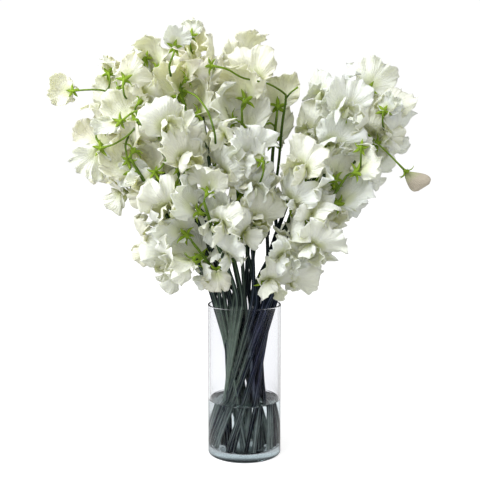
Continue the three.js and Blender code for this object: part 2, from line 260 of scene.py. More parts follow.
# The middle of an open flower, forward, up and to the side of its base.
HEART = (12, 14, 0)
TINY = 1e-9
FAR = 1e9
CENTRES = np.array(
    [np.mean([place(f, HEART) for f in spray["flowers"]], axis=0) for spray in SPRAYS]
    + [place(f, HEART) for f in STRAY_FLOWERS]
)


def in_cell(points, own):
    """Bends points back towards their own spray, where they would reach over into a neighbour's room."""
    ray = points - CENTRES[own]
    length = np.linalg.norm(ray, axis=-1)
    ray = ray / np.maximum(length, TINY)[..., None]
    wall = np.full(length.shape, FAR)
    for other, centre in enumerate(CENTRES):
        if other == own:
            continue
        apart = centre - CENTRES[own]
        facing = ray @ apart
        reach = np.where(facing > TINY, (apart @ apart) / 2 / np.maximum(facing, TINY), FAR)
        wall = np.minimum(wall, reach)
    calm = CELL["calm"] * wall
    room = (CELL["limit"] - CELL["calm"]) * wall
    pressed = calm + room * (1 - np.exp((calm - length) / room))
    return CENTRES[own] + ray * np.where(length > calm, pressed, length)[..., None]


def put(name, data):
    """A new object in the scene."""
    shown = bpy.data.objects.new(name, data)
    bpy.context.scene.collection.objects.link(shown)
    return shown


class Shape:
    """Gathers vertices, faces and the values that materials read."""

    def __init__(self):
        self.points, self.faces, self.values, self.count = [], [], {}, 0

    def add(self, points, faces, **values):
        points = np.asarray(points, float).reshape(-1, 3)
        self.points.append(points)
        self.faces.extend([tuple(i + self.count for i in face) for face in faces])
        for name, value in values.items():
            spread = np.broadcast_to(np.asarray(value, float), (len(points),))
            self.values.setdefault(name, []).append(spread)
        self.count += len(points)

    def build(self, name, material):
        mesh = bpy.data.meshes.new(name)
        points = np.concatenate(self.points) * METRE
        mesh.from_pydata(points.tolist(), [], self.faces)
        for key, parts in self.values.items():
            attribute = mesh.attributes.new(key, "FLOAT", "POINT")
            attribute.data.foreach_set("value", np.concatenate(parts).astype(np.float32))
        mesh.shade_smooth()
        mesh.materials.append(material)
        return put(name, mesh)


def grid_faces(rows, columns, wrap=False):
    """Quads of a grid of points, closed into a ring along its columns if wrap."""
    last = columns if wrap else columns - 1
    return [
        (r * columns + c, r * columns + (c + 1) % columns,
         (r + 1) * columns + (c + 1) % columns, (r + 1) * columns + c)
        for r in range(rows - 1)
        for c in range(last)
    ]


def closed_faces(rings, sides):
    """Faces of a row of rings with a cap on both ends."""
    last = (rings - 1) * sides
    caps = [tuple(reversed(range(sides))), tuple(last + k for k in range(sides))]
    return grid_faces(rings, sides, wrap=True) + caps


def turns(sides):
    """The angles of points spread evenly round a ring."""
    return 2 * math.pi * np.arange(sides) / sides


def add_sheet(shape, grid, thickness, **values):
    """A closed thin body round a grid of points. thickness is a number or a value for each point."""
    rows, columns, _ = grid.shape
    normal = np.cross(np.gradient(grid, axis=0), np.gradient(grid, axis=1))
    normal /= np.maximum(np.linalg.norm(normal, axis=-1), TINY)[..., None]
    offset = normal * np.broadcast_to(thickness, (rows, columns))[..., None] / 2
    both = np.concatenate([(grid + offset).reshape(-1, 3), (grid - offset).reshape(-1, 3)])
    size = rows * columns
    front = grid_faces(rows, columns)
    back = [tuple(i + size for i in reversed(face)) for face in front]
    border = (
        list(range(columns))
        + [r * columns + columns - 1 for r in range(1, rows)]
        + [(rows - 1) * columns + c for c in reversed(range(columns - 1))]
        + [r * columns for r in reversed(range(1, rows - 1))]
    )
    rim = [(b, a, a + size, b + size) for a, b in zip(border, border[1:] + border[:1])]
    doubled = {k: np.tile(np.broadcast_to(v, (rows, columns)).ravel(), 2) for k, v in values.items()}
    shape.add(both, front + back + rim, **doubled)


# The greens' rib value where a surface has no grooves. It runs from 0 in a groove to 1 on a ridge.
NO_RIB = 0.4


def add_tube(shape, path, radii, sides=10, flute=0.0, **values):
    """A tube with closed ends along a path. flute is the depth of its four grooves, as a share of the radius.

    values hold for all of it or for each point of the path."""
    path = np.asarray(path, float)
    along = np.gradient(path, axis=0)
    along /= np.linalg.norm(along, axis=1)[:, None]
    across = np.array([1.0, 0.0, 0.0]) if abs(along[0][0]) < 0.9 else UP
    turn = turns(sides)
    spread = 1 + flute * np.cos(4 * turn)
    rings = []
    for point, direction, radius in zip(path, along, radii):
        across = unit(across - direction * (direction @ across))
        third = np.cross(direction, across)
        ring = np.cos(turn)[:, None] * across + np.sin(turn)[:, None] * third
        rings.append(point + radius * spread[:, None] * ring)
    values = {k: np.repeat(np.broadcast_to(v, len(path)), sides) for k, v in values.items()}
    rib = np.tile(0.5 + 0.5 * np.cos(4 * turn), len(path)) if flute else NO_RIB
    shape.add(np.concatenate(rings), closed_faces(len(path), sides), rib=rib, **values)


def smooth_line(points, count):
    """count points along a smooth line through the given ones."""
    p = np.asarray(points, float)
    p = np.vstack([2 * p[0] - p[1], p, 2 * p[-1] - p[-2]])
    t = np.linspace(0, len(points) - 1, count)
    i = np.minimum(t.astype(int), len(points) - 2)
    x = (t - i)[:, None]
    a, b, c, d = p[i], p[i + 1], p[i + 2], p[i + 3]
    return 0.5 * (2 * b + (c - a) * x + (2 * a - 5 * b + 4 * c - d) * x**2 + (3 * b - a - 3 * c + d) * x**3)


def even_line(points, count):
    """count points evenly spaced along a smooth line through the given ones."""
    fine = smooth_line(points, 40 * len(points))
    steps = np.linalg.norm(np.diff(fine, axis=0), axis=1)
    travelled = np.concatenate([[0], np.cumsum(steps)])
    wanted = np.linspace(0, travelled[-1], count)
    return np.stack([np.interp(wanted, travelled, fine[:, k]) for k in range(fine.shape[1])], axis=1)


# Outline of half a standard petal, as up and side, from the notch at its top round to its claw.
STANDARD_MARGIN = [
    (34.5, 0), (37.6, 4.5), (38.6, 11), (36, 18), (29, 23.8), (19.5, 26), (10, 23.5), (2.5, 17.5),
    (-1.5, 10.5), (-0.8, 4.6), (1.6, 1.5),
]
STANDARD_CLAW = (1.2, 0)
# Outline of a wing petal, as along and across, from its claw along the ridge, round the tip and back.
WING_MARGIN = [
    (0, -0.8), (5, -3.2), (12, -5), (19, -5.2), (25, -3), (29.5, 2), (30.5, 8), (28, 14),
    (22, 17.5), (15.5, 17), (9.5, 13), (5, 7), (2, 2.6), (0, 0.8),
]
WING_CLAW = (2.5, 0.4)
# Thickness at the claw and at the margin.
PETAL_THICKNESS = (0.55, 0.3)
# The frills of a margin: how many waves run along it, how high, and how sharply they fade towards the claw.
FRILLS = [(2.6, 0.5, 1.8), (5.8, 0.7, 3.4), (10.5, 0.75, 5.5), (18, 0.48, 8)]
# Between which bounds the shapes of petals are drawn.
STANDARD_DRAWS = {"cup": (-2.1, 1.5), "reflex": (0.2, 1.9), "twist": (-1.4, 1.4), "frill": (3.2, 5.6)}
WING_DRAWS = {"droop": (-8, 14), "spread": (2, 26), "frill": (1.8, 3.2)}


def fan(margin, claw, rows, start=0.05):
    """Points of a flat petal on lines that spread from its claw to its margin, and each row's share."""
    share = start + (1 - start) * np.linspace(0, 1, rows) ** 0.75
    claw = np.asarray(claw, float)
    return claw + share[:, None, None] * (margin[None] - claw), share


def waves(t, rng, counts, weights):
    """A sum of waves at shares t of a margin, with random phases and slightly varied counts."""
    total = 0
    for count, weight in zip(counts, weights):
        n = count * (0.88 + 0.24 * rng.random())
        total = total + weight * np.sin(2 * math.pi * (n * t + rng.random()))
    return total


def swell(flat, rng, length, height):
    """Gentle random hills over a flat petal."""
    total = 0
    for _ in range(3):
        angle = 2 * math.pi * rng.random()
        stretch = length * (0.8 + 0.5 * rng.random())
        way = flat[..., 0] * math.cos(angle) + flat[..., 1] * math.sin(angle)
        total = total + np.sin(2 * math.pi * (way / stretch + rng.random()))
    return height * total / 2


def standard_petal(rng, columns=70, rows=10):
    """The broad petal that stands up behind a flower: local points, each row's share, and shares along it.

    f is forward, u up and s to the side. The sheet bulges forward above its claw, bends back at its top,
    wraps the claw, cups or opens, twists, and has a ridge in its middle, hills and a frilled margin."""
    half = np.array(STANDARD_MARGIN)
    whole = np.vstack([(half * (1, -1))[::-1], half[1:]])
    margin = even_line(whole, columns)
    t = np.linspace(0, 1, columns)
    ragged = 1 + 0.022 * waves(t, rng, (13, 21), (0.7, 0.6))
    claw = np.array(STANDARD_CLAW)
    margin = claw + (margin - claw) * ragged[:, None]
    flat, share = fan(margin, claw, rows)
    u, s = flat[..., 0], flat[..., 1]
    rho = share[:, None]
    cup, reflex, twist = [rng.uniform(*STANDARD_DRAWS[name]) for name in ("cup", "reflex", "twist")]
    bulge = 1.5 + 13.5 * np.sin(np.clip(u, 0, 26) / 26 * math.pi / 2)
    bent_back = 4.5 * reflex * (np.clip(u - 24, 0, None) / 12) ** 2
    wrapped = 6 * np.clip(np.abs(s) / 12, 0, 1.2) * np.exp(-np.clip(u, 0, None) / 6)
    cupped = cup * 6.5 * (s / 24) ** 2 * np.clip(u / 20, 0, 1)
    twisted = 3.0 * twist * (s / 24) * np.clip((u - 10) / 20, -0.3, 1)
    ridge = 1.5 * np.exp(-((s / 2.2) ** 2)) * np.clip(1 - u / 34, 0, 1)
    hills = swell(flat, rng, 26, 2.0) * rho + swell(flat, rng, 13, 0.8) * rho
    f = bulge - bent_back + wrapped + cupped + twisted + ridge + hills
    frill = rng.uniform(*STANDARD_DRAWS["frill"])
    for count, weight, reach in FRILLS:
        f = f + frill * weight * rho**reach * waves(t, rng, (count,), (1.0,))
    side_wave = waves(t, rng, (8.3, 12.5), (0.7, 0.4))
    along = np.gradient(margin, axis=0)
    along /= np.linalg.norm(along, axis=1)[:, None]
    shift = 0.6 * frill * rho**3 * side_wave
    u = u + shift * along[:, 0]
    s = s + shift * along[:, 1]
    return np.stack([f, u, s], axis=-1), rho, t


def wing_petal(rng, hand, columns=36, rows=8):
    """One of the two petals that close over the keel like a hood, as standard_petal gives its own.

    It is rolled round a line along its ridge, flares at its lower edge, and has hills and frills."""
    margin = even_line(np.array(WING_MARGIN), columns)
    t = np.linspace(0, 1, columns)
    margin = margin * (1 + 0.025 * waves(t, rng, (8, 13), (0.7, 0.6)))[:, None]
    flat, share = fan(margin, WING_CLAW, rows, start=0.06)
    rho = share[:, None]
    a, b = flat[..., 0], flat[..., 1]
    droop = math.radians(rng.uniform(*WING_DRAWS["droop"]))
    spread = math.radians(rng.uniform(*WING_DRAWS["spread"]))
    radius = 2.2 + 7.6 * np.sqrt(np.clip(a / 13, 0, 1))
    ridge = -5.2 * np.sin(math.pi * np.clip(a / 31, 0, 1))
    turn = math.radians(4) + spread * np.clip(a / 16, 0, 1) + (b - ridge) / np.maximum(radius, 8)
    flare = np.clip(turn - math.radians(75), 0, None)
    frill = rng.uniform(*WING_DRAWS["frill"])
    wave = waves(t, rng, (3.6,), (0.6,)) * rho**1.6 + waves(t, rng, (6.4, 9.5), (0.7, 0.5)) * rho**3
    radius = radius + 3.4 * flare + frill * wave + swell(flat, rng, 16, 1.2) * rho
    f = 6.2 + a * math.cos(droop) * 0.84
    u = 1.6 - a * math.sin(droop) * 0.5 + radius * np.cos(turn)
    s = hand * radius * np.sin(turn)
    return np.stack([f, u, s], axis=-1), rho, t


# The keel: each ring's distance forward, height, half width and half height.
KEEL = [
    (4, 0.5, 0.8, 0.8), (8, -1.2, 2.2, 2.6), (13, -2.4, 3.0, 3.8), (18, -1.2, 2.6, 3.8), (22, 1.8, 1.6, 2.8),
    (23.5, 4.6, 0.5, 1.0),
]


def keel_points(sides=12, rings=12):
    line = even_line(np.array(KEEL), rings)
    turn = turns(sides)
    f = np.repeat(line[:, :1], sides, axis=1)
    u = line[:, 1:2] + line[:, 3:4] * np.cos(turn)
    s = line[:, 2:3] * np.sin(turn)
    return np.stack([f, u, s], axis=-1)


def add_petal(shape, flower, own, petal, tone):
    local, rho, along = petal
    thick = PETAL_THICKNESS[0] + (PETAL_THICKNESS[1] - PETAL_THICKNESS[0]) * rho
    add_sheet(shape, in_cell(place(flower, local), own), thick, rho=rho, across=along[None], tone=tone)


def add_flower(shape, flower, own, rng):
    """An open flower's petals. Those at the upper left are the creamiest."""
    x, _, z = flower["base"]
    cream = np.clip(0.4 - x / 200 + (z - 370) / 200, 0, 1)
    tone = 0.6 * rng.random() + 0.4 * cream
    for petal in [standard_petal(rng)] + [wing_petal(rng, hand) for hand in (1, -1)]:
        add_petal(shape, flower, own, petal, tone)
    keel = keel_points()
    points = in_cell(place(flower, keel), own)
    shape.add(points, closed_faces(*keel.shape[:2]), rho=0.3, across=0.5, tone=tone)


# A closed bud: each ring's distance forward, height, half width and half height.
BUD = [
    (1.2, 0, 1.2, 1.4), (4, 0.2, 2.4, 3.6), (9, 1.0, 4.0, 6.8), (15, 2.2, 5.0, 10.0), (21, 3.0, 4.8, 12.0),
    (26, 3.4, 3.6, 11.2), (29, 3.6, 1.0, 7.0),
]


def add_bud(shape, flower, rng, rings=20, sides=28):
    """A closed bud, with a crest along its top and the seams of its wrapped petal winding round it."""
    line = even_line(np.array(BUD), rings)
    turn = turns(sides)
    crest = 1 + 0.16 * np.exp(-((np.cos(turn) - 1) / 0.06) ** 2)
    f = np.repeat(line[:, :1], sides, axis=1) + 0.9 * np.cos(turn)
    u = line[:, 1:2] + line[:, 3:4] * np.cos(turn) * crest
    s = line[:, 2:3] * np.sin(turn) * (1 + 0.12 * np.cos(turn))
    s = s + 0.35 * np.sin(line[:, :1] / 4.0 + 2 * turn[None])
    grid = place(flower, np.stack([f, u, s], axis=-1))
    rho = np.repeat(np.linspace(0, 1, rings), sides)
    across = np.tile(turn / (2 * math.pi), rings)
    shape.add(grid, closed_faces(rings, sides), rho=rho, across=across, tone=rng.random())


# The calyx: the bell's outline as distance forward and radius, and one lobe's line from the bell to its tip.
BELL = [(-2.9, 0.0), (-2.5, 0.9), (-1.6, 1.75), (-0.2, 2.5), (1.4, 2.9), (2.2, 2.9), (1.6, 2.2), (0.6, 0.0)]
BELL_SIDES = 15
LOBE = [(0.6, 2.2), (2.0, 4.3), (2.7, 6.6), (2.5, 9.2), (1.4, 11.8)]
LOBE_WIDTH = [3.8, 4.4, 3.8, 2.3, 0.2]
LOBE_ROWS = 8
LOBE_THICKNESS = 0.5
LOBE_FOLD = 0.315
LOBES = 5
LOBE_TURN = 2 * math.pi / LOBES


def lobe_points(middle, rng):
    """One lobe of a calyx at an angle round it, with its own length, bend and sway."""
    length = rng.uniform(0.85, 1.2)
    bend = rng.uniform(-0.9, 0.9)
    line = smooth_line(LOBE, LOBE_ROWS)
    share = np.linspace(0, 1, LOBE_ROWS)
    width = np.interp(share * (len(LOBE) - 1), range(len(LOBE)), LOBE_WIDTH)[:, None]
    forward = line[:, 0] + bend * share**2 * 1.6
    out = line[0, 1] + (line[:, 1] - line[0, 1]) * length
    over = width * np.linspace(-0.5, 0.5, 5)
    sway = rng.uniform(-1.2, 1.2) * share**2
    f = forward[:, None] + LOBE_FOLD * np.abs(over) ** 1.2
    u = out[:, None] * math.cos(middle) + (over + sway[:, None]) * math.sin(middle)
    s = -out[:, None] * math.sin(middle) + (over + sway[:, None]) * math.cos(middle)
    return np.stack([f, u, s], axis=-1), share[:, None]


def add_calyx(shape, flower, rng):
    turn = turns(BELL_SIDES)
    bell = np.array([
        np.stack([np.full(BELL_SIDES, f), r * np.cos(turn), -r * np.sin(turn)], axis=-1) for f, r in BELL
    ])
    faces = grid_faces(len(BELL), BELL_SIDES, wrap=True)
    shape.add(place(flower, bell), faces, young=1.0, lobe=0.0, tone=0.5, rib=NO_RIB)
    for k in range(LOBES):
        middle = k * LOBE_TURN + rng.uniform(-0.1, 0.1)
        local, share = lobe_points(middle, rng)
        grid = place(flower, local)
        add_sheet(shape, grid, LOBE_THICKNESS, young=1.0, lobe=share, tone=0.5, rib=NO_RIB)


def add_bare_stalk(shape, path, root, young):
    """A stalk that thins from its root to the neck of its calyx, where it swells a little."""
    share = np.linspace(0, 1, len(path))
    radii = root + (STALK["neck"] - root) * np.minimum(share * 1.6, 1)
    radii = radii + 0.35 * np.clip((share - 0.85) / 0.15, 0, 1)
    young = young + (0.95 - young) * share
    add_tube(shape, path, radii, sides=8, young=young, lobe=0.0, tone=0.5)


def add_stalk(shape, flower, rng):
    """The short stalk of a raceme's flower, arched towards the raceme's tip."""
    root = flower["root"]
    neck = place(flower, (CALYX_BACK, 0, 0))
    reach = np.linalg.norm(neck - root)
    middle = (root + neck) / 2 + flower["rise"] * 0.14 * reach + rng.uniform(-0.6, 0.6, 3)
    add_bare_stalk(shape, smooth_line([root, middle, neck], 9), STALK["root"], 0.6)


def add_long_stalk(shape, flower):
    """The long stalk of a flower that stands off, arched upwards."""
    root = flower["root"]
    way = place(flower, (CALYX_BACK, 0, 0)) - root
    arch = UP * np.linalg.norm(way)
    line = [root, root + way * 0.33 + arch * 0.07, root + way * 0.68 + arch * 0.05, root + way]
    add_bare_stalk(shape, smooth_line(line, 20), STALK["root"], 0.6)


def add_turned(petals, greens, flower, own, rng):
    """A flower seen from behind: its standard petal, its calyx and its stalk."""
    add_petal(petals, flower | {"size": flower["petal_size"]}, own, standard_petal(rng), rng.random())
    add_calyx(greens, flower, rng)
    line = [*flower["line"], place(flower, (CALYX_BACK, 0, 0))]
    root, young = (STOUT["root"], STOUT["young"]) if len(line) > STOUT["beyond"] else (STALK["root"], 0.5)
    add_bare_stalk(greens, smooth_line(line, 4 * len(line)), root, young)


def bezier(a, b, c, d, t):
    t = t[:, None]
    return a * (1 - t) ** 3 + 3 * b * t * (1 - t) ** 2 + 3 * c * t**2 * (1 - t) + d * t**3


# Stems stand in rings: their shares of the waist's radius, and of the steepest twist that fits the vase.
INNER = {"ring": (0.3, 0.75), "twist": (0.35, 1.0)}
OUTER = {"ring": (0.84, 1.0), "twist": (0.8, 1.0)}
LEANING_BACK = (-0.6, -0.2)
# Places along a stem run from 0 at its foot over 1 at the rim and 3 at its lowest flower to 4 at its head.
STEM_RADII = [2.35, 2.3, 2.2, 1.95, 1.35]
# What young is along a stem: below 0 under water, about 0 up to the rim, and highest at its head.
YOUNG = {"at": (0.2, 0.4, 1, 2.3, 3, 4), "is": (-1, 0, 0.02, 0.1, 0.45, 0.75)}
# The share of its tone that a stem keeps, and how far a place on it counts as under water.
DULL = {"at": (0.85, 1.1), "is": (1, 0.45)}
SUNK = {"at": (0.2, 0.4), "is": (1, 0)}
# Painted shade: stems are darkest at this angle at the waist, away from the lamps, and palest, with painted
# light, across from it.
SHADED_SIDE = math.radians(20)
# Steps of this share spread the tones under water evenly.
GOLDEN = 0.618


def own_ring(angle, number, rng):
    """A stem's own ring. Two in five stand further in, and every sixth leans against the twist."""
    above = VASE["height"] + RIM_LIFT - WAIST["height"]
    bearing = angle + math.atan(WAIST["twist"] * above)
    kind = INNER if number % 5 in (1, 3) else OUTER
    radius = WAIST["radius"] * rng.uniform(*kind["ring"])
    steepest = math.sqrt((STEM_REACH / radius) ** 2 - 1) / above
    twist = steepest * rng.uniform(*(LEANING_BACK if number % 6 == 0 else kind["twist"]))
    return {"angle": bearing - math.atan(twist * above), "radius": radius, "twist": twist}


def add_stem(shape, spray, number, rng):
    """A straight stem in the vase, bent above the rim to its raceme. Under water all tones are as common."""
    ring = own_ring(spray["angle"], number, rng)
    foot = ring_point(height=VASE["floor"] + FOOT_CLEARANCE, **ring)
    rim = ring_point(height=VASE["height"] + RIM_LIFT, **ring)
    start, rise = spray["raceme_start"], spray["rise"]
    length = np.linalg.norm(start - rim)
    straight = np.linspace(0, 1, 12)
    bent = np.linspace(0, 1, 20)[1:]
    flowering = np.linspace(0, 1, 7)[1:]
    path = np.vstack([
        foot + straight[:, None] * (rim - foot),
        bezier(rim, rim + unit(rim - foot) * 0.25 * length, start - rise * 0.3 * length, start, bent),
        start + flowering[:, None] * (spray["head"] - start),
    ])
    marks = np.concatenate([straight, 1 + 2 * bent, 3 + flowering])
    radii = np.interp(marks, range(len(STEM_RADII)), STEM_RADII) * rng.uniform(0.88, 1.12)
    young = np.interp(marks, YOUNG["at"], YOUNG["is"])
    # Painted light and shade: stems on the side towards the lamps are paler, those across from it darker,
    # with a random share on top.
    painted_light = 0.5 - 0.5 * math.cos(spray["angle"] - SHADED_SIDE)
    tone = np.clip(0.7 * painted_light + 0.6 * rng.random() - 0.15, 0, 1)
    tone = tone * np.interp(marks, DULL["at"], DULL["is"])
    sunk = np.interp(marks, SUNK["at"], SUNK["is"])
    tone = tone + sunk * (0.15 + 0.85 * (number * GOLDEN % 1) - tone)
    add_tube(shape, path, radii, sides=12, flute=0.06, young=young, lobe=0.0, tone=tone)


def lathe_object(name, profile, material):
    """A round body from half its outline, whose first and last points lie on the axis."""
    sides = VASE["sides"]
    turn = turns(sides)
    r, z = np.array(profile[1:-1]).T[..., None]
    rings = np.stack([r * np.cos(turn), r * np.sin(turn), np.repeat(z, sides, axis=1)], axis=-1)
    shape = Shape()
    shape.add(rings, closed_faces(len(rings), sides))
    return shape.build(name, material)


def arc(centre, radius, first, last, steps=6):
    """Points of an arc in a profile, between two angles in degrees."""
    angles = np.radians(np.linspace(first, last, steps))
    return [(centre[0] + radius * math.cos(a), centre[1] + radius * math.sin(a)) for a in angles]


HOLD = {"beyond": 5, "from_end": 0.3}


def held(profile):
    """The profile with points added near the ends of long stretches, which keep their shading straight."""
    points = [profile[0]]
    for (r0, z0), (r1, z1) in zip(profile, profile[1:]):
        length = math.hypot(r1 - r0, z1 - z0)
        if length > HOLD["beyond"]:
            for share in (HOLD["from_end"] / length, 1 - HOLD["from_end"] / length):
                points.append((r0 + share * (r1 - r0), z0 + share * (z1 - z0)))
        points.append((r1, z1))
    return points


# Inside, the foot is rounded at the wall and sinks a little towards its middle.
FILLET = 2.5
DISH = {"in": 14, "edge": 0.2, "middle": 0.4}
# The face that closes the flat under the foot ends this far in from the wall.
CAP_IN = 12
# The water reaches this far into the glass, and climbs the wall: distance from it, and height over the level.
OVERLAP = 0.04
CLIMB = [(0, 1.5), (0.5, 0.7), (1.4, 0.2), (3, 0)]


def make_vase(material):
    radius, wall, floor, corner = VASE["radius"], VASE["wall"], VASE["floor"], VASE["corner"]
    inner, lip = radius - wall, wall / 2
    profile = [(0, 0), (radius - CAP_IN, 0)]
    profile += arc((radius - corner, corner), corner, -90, 0)
    profile += arc((radius - lip, VASE["height"] - lip), lip, 0, 180, 9)
    profile += arc((inner - FILLET, floor + FILLET), FILLET, 0, -90)
    profile += [(inner - DISH["in"], floor - DISH["edge"]), (0, floor - DISH["middle"])]
    return lathe_object("vase", held(profile), material)


def make_water(material):
    inner = VASE["radius"] - VASE["wall"] + OVERLAP
    floor = VASE["floor"]
    fillet = FILLET + OVERLAP
    profile = [(0, floor - DISH["middle"] - OVERLAP), (inner - DISH["in"], floor - DISH["edge"] - OVERLAP)]
    profile += arc((inner - fillet, floor + FILLET), fillet, -90, 0)
    profile += [(inner - away, WATER_TOP + over) for away, over in CLIMB]
    profile += [(0, WATER_TOP)]
    return lathe_object("vase_water", held(profile), material)


def new_material(name):
    material = bpy.data.materials.new(name)
    material.use_nodes = True
    nodes = material.node_tree.nodes
    return material, nodes, material.node_tree.links, nodes["Principled BSDF"]


def set_values(node, values):
    for name, value in values.items():
        node.inputs[name].default_value = value


def attribute(nodes, name):
    node = nodes.new("ShaderNodeAttribute")
    node.attribute_name = name
    return node.outputs["Fac"]


def plug(links, socket, value):
    """Links a socket to another one, or gives it a value."""
    if isinstance(value, bpy.types.NodeSocket):
        links.new(value, socket)
    elif isinstance(value, tuple):
        socket.default_value = (*value, 1)
    else:
        socket.default_value = value


# A mix node's sockets for colours go by number, because their names aren't theirs alone.
FIRST_COLOUR, SECOND_COLOUR, MIXED = 6, 7, 2


def mixed_colour(nodes, links, share, first, second, blend="MIX"):
    """Mixes two colours, each a value or a socket, by a share that is a value or a socket."""
    node = nodes.new("ShaderNodeMix")
    node.data_type = "RGBA"
    node.blend_type = blend
    for key, value in (("Factor", share), (FIRST_COLOUR, first), (SECOND_COLOUR, second)):
        plug(links, node.inputs[key], value)
    return node.outputs[MIXED]


def ramp(nodes, links, source, stops):
    """A smooth run of greys or colours over a source from 0 to 1."""
    node = nodes.new("ShaderNodeValToRGB")
    elements = node.color_ramp.elements
    while len(elements) < len(stops):
        elements.new(0.5)
    for element, (where, value) in zip(elements, stops):
        element.position = where
        element.color = (*value, 1) if isinstance(value, tuple) else (value, value, value, 1)
    links.new(source, node.inputs["Fac"])
    return node.outputs["Color"]


def noise(nodes, links, scale, detail):
    node = nodes.new("ShaderNodeTexNoise")
    set_values(node, {"Scale": scale, "Detail": detail})
    links.new(nodes.new("ShaderNodeTexCoord").outputs["Object"], node.inputs["Vector"])
    return node.outputs["Fac"]


def maths(nodes, links, operation, *values):
    node = nodes.new("ShaderNodeMath")
    node.operation = operation
    for socket, value in zip(node.inputs, values):
        plug(links, socket, value)
    return node.outputs[0]


def place_along(nodes, links, axis, factor, start=0.0):
    """How far along an axis of the layout a point is, times a factor, from a start."""
    split = nodes.new("ShaderNodeSeparateXYZ")
    links.new(nodes.new("ShaderNodeTexCoord").outputs["Object"], split.inputs[0])
    return maths(nodes, links, "MULTIPLY_ADD", split.outputs[axis], factor, start)


def bumped(nodes, links, height, strength, distance):
    """The surface's direction, roughened by a height."""
    bump = nodes.new("ShaderNodeBump")
    set_values(bump, {"Strength": strength, "Distance": distance})
    links.new(height, bump.inputs["Height"])
    return bump.outputs["Normal"]


# Noises over petals and greens, as scale and detail.
CLOUDS = (55, 3)
WAVERING = (90, 2)
CREASES = (150, 2)
GRAIN = (420, 3)
PATCHES = (130, 3)
FINE_GRAIN = (900, 3)
# How deep a fold between petals has to be to get painted shade.
FOLD_REACH = 24
VEINS = 34
COOL = (0.9, 0.928, 0.955)
WHITE = (0.93, 0.938, 0.928)
CREAM = (0.93, 0.915, 0.85)
BLUSH = (0.875, 0.84, 0.805)
# Painted shade deep in folds: the tint that darkens them, for a flower of the first tone and one of the last.
FOLD_SHADES = ((0.95, 0.935, 0.8), (0.875, 0.895, 0.44))
WHITE_PETAL = {
    "tones": [(0.1, COOL), (0.45, WHITE), (0.8, CREAM), (1, BLUSH)],
    "shade": (0.955, 0.962, 0.95),
    "throat": (0.78, 0.83, 0.45),
    "through": (0.985, 0.985, 0.94),
    "amount": 0.42,
}
BUD_PETAL = {
    "tones": [(0, (0.62, 0.55, 0.46)), (1, (0.58, 0.5, 0.41))],
    "shade": (0.6, 0.55, 0.41),
    "throat": (0.5, 0.6, 0.24),
    "through": (0.95, 0.9, 0.8),
    "amount": 0.2,
}


def petal_material(name, tones, shade, throat, through, amount):
    """Thin petal: a soft surface over light that comes through, with faint veins that spread from the claw,
    and painted shade deep in the folds between petals.

    tones are the colours that flowers have, shade lies on them in clouds, throat is the colour at the claw
    and in the veins, and through tints the share of light that comes through, which is amount."""
    material, nodes, links, surface = new_material(name)
    rho = attribute(nodes, "rho")
    tone = attribute(nodes, "tone")
    blade = ramp(nodes, links, tone, tones)
    cloud = ramp(nodes, links, noise(nodes, links, *CLOUDS), [(0.35, 0), (0.75, 0.7)])
    base = mixed_colour(nodes, links, cloud, blade, shade)
    claw = ramp(nodes, links, rho, [(0.05, 0.9), (0.5, 0)])
    base = mixed_colour(nodes, links, claw, base, throat)

    lines = maths(nodes, links, "MULTIPLY", attribute(nodes, "across"), 2 * math.pi * VEINS)
    wavering = maths(nodes, links, "MULTIPLY", noise(nodes, links, *WAVERING), 7)
    wave = maths(nodes, links, "SINE", maths(nodes, links, "ADD", lines, wavering))
    vein = maths(nodes, links, "MULTIPLY_ADD", wave, 0.5, 0.5)
    vein_dark = maths(nodes, links, "MULTIPLY", maths(nodes, links, "POWER", vein, 3), 0.05)
    base = mixed_colour(nodes, links, vein_dark, base, throat)

    # Painted shade: where ambient occlusion finds a deep fold, the colour is darkened towards a yellow-green
    # tint.
    hollow = nodes.new("ShaderNodeAmbientOcclusion")
    hollow.samples = 4
    hollow.inputs["Distance"].default_value = FOLD_REACH * METRE
    fold_shade = ramp(nodes, links, hollow.outputs["AO"], [(0.05, 0.9), (0.45, 0)])
    tint = mixed_colour(nodes, links, tone, *FOLD_SHADES)
    shaded = mixed_colour(nodes, links, 1.0, base, tint, "MULTIPLY")
    base = mixed_colour(nodes, links, fold_shade, base, shaded)

    relief = maths(nodes, links, "MULTIPLY_ADD", noise(nodes, links, *GRAIN), 1.5, vein)
    relief = maths(nodes, links, "MULTIPLY_ADD", noise(nodes, links, *CREASES), 4.5, relief)
    normal = bumped(nodes, links, relief, 0.5, 0.6 * METRE)
    set_values(surface, {"Roughness": 0.55, "Specular IOR Level": 0.3})
    links.new(base, surface.inputs["Base Color"])
    links.new(normal, surface.inputs["Normal"])

    light = nodes.new("ShaderNodeBsdfTranslucent")
    links.new(mixed_colour(nodes, links, 1.0, base, through, "MULTIPLY"), light.inputs["Color"])
    links.new(normal, light.inputs["Normal"])
    both = nodes.new("ShaderNodeMixShader")
    both.inputs["Fac"].default_value = amount
    links.new(surface.outputs[0], both.inputs[1])
    links.new(light.outputs[0], both.inputs[2])
    links.new(both.outputs[0], nodes["Material Output"].inputs["Surface"])
    return material


DARK_STEM = (0.004, 0.006, 0.022)
PALE_STEM = (0.19, 0.25, 0.2)
SHADED_STEM = (0.085, 0.09, 0.17)
WET_STEM = (0.52, 0.62, 0.58)
MIDDLE_GREEN = (0.05, 0.095, 0.016)
FRESH_GREEN = (0.21, 0.32, 0.03)
LOBE_GREEN = (0.4, 0.52, 0.06)
DULL_GREEN = (0.02, 0.03, 0.01)


